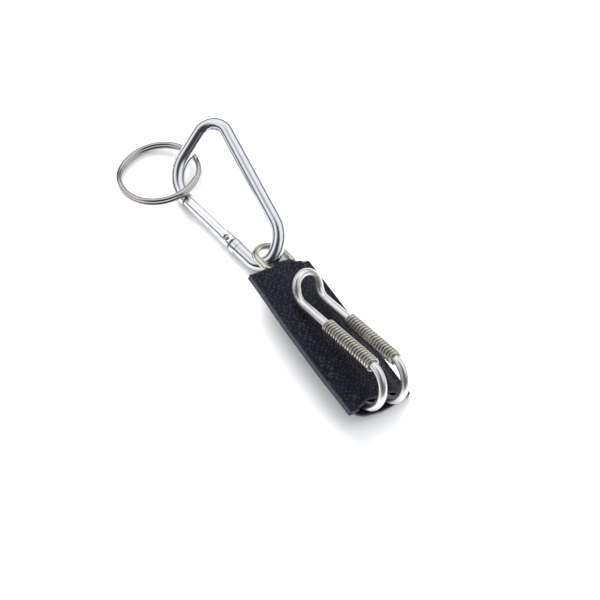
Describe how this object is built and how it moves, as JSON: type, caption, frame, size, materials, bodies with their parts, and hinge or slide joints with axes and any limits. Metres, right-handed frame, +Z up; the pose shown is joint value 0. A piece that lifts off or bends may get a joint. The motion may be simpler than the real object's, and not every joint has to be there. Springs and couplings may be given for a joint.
{
  "type": "key organiser",
  "caption": "Slim leather key fob with a sprung wire clip, a D-ring on a leather tab, a gated carabiner and a split key ring, lying on its edge on a table.",
  "frame": {"origin": "on the table top, at the middle of the whole object's footprint", "axes": "+Z up from the table; +Y along the fob from its pocket end to the D-ring, the carabiner and the split ring; +X to the right, towards the edge the fob rests on"},
  "size_m": [0.0436, 0.1373, 0.0228],
  "materials": {
    "black_leather": "fine cross-hatched grain, satin",
    "board": "matte fibre board",
    "clip_steel": "bright drawn wire",
    "spring_steel": "plated spring wire",
    "dee_nickel": "warm nickel plate",
    "bright_aluminium": "polished",
    "gate_aluminium": "satin",
    "rivet_steel": "peened",
    "plunger_brass": "turned",
    "ring_nickel": "nickel plate"
  },
  "bodies": {
    "fob": {"front_panel": "black_leather", "back_panel": "black_leather", "ring_strap": "black_leather", "core_board": "board", "base_wire": "clip_steel", "pocket_bar": "clip_steel", "spring_left": "spring_steel", "spring_right": "spring_steel"},
    "clip": {"clip_loop": "clip_steel"},
    "dee": {"d_ring": "dee_nickel"},
    "carabiner": {"carabiner_frame": "bright_aluminium"},
    "gate": {"gate": "gate_aluminium", "gate_rivet": "rivet_steel", "gate_plunger": "plunger_brass", "gate_spring": "spring_steel"},
    "ring": {"split_ring": "ring_nickel"}
  },
  "joints": [
    {"name": "clip_hinge", "type": "hinge", "parent": "fob", "child": "clip", "pos_m": [0.01078, -0.04636, 0.01573], "axis": [0.9136, 0, -0.4067], "range_deg": [0, 25], "stiffness_Nm_per_rad": 0.15, "springref_deg": -5.73, "deforming": ["spring_left", "spring_right"]},
    {"name": "dee_hinge", "type": "hinge", "parent": "fob", "child": "dee", "pos_m": [0.0081, -0.00295, 0.0054], "axis": [0.9136, 0, -0.4067], "range_deg": [-45, 45]},
    {"name": "carabiner_swing", "type": "hinge", "parent": "dee", "child": "carabiner", "pos_m": [0.0078, 0.0019, 0.005], "axis": [0.4033, 0.1305, 0.9057], "range_deg": [-35, 20]},
    {"name": "gate_hinge", "type": "hinge", "parent": "carabiner", "child": "gate", "pos_m": [-0.00028, 0.01782, 0.00275], "axis": [0.4017, 0.0672, -0.9133], "range_deg": [0, 28], "stiffness_Nm_per_rad": 0.05, "springref_deg": -14.32},
    {"name": "ring_swing", "type": "hinge", "parent": "carabiner", "child": "ring", "pos_m": [0.00171, 0.04708, 0.00558], "axis": [-0.6319, -0.7688, 0.0981], "range_deg": [-28, 24]}
  ]
}
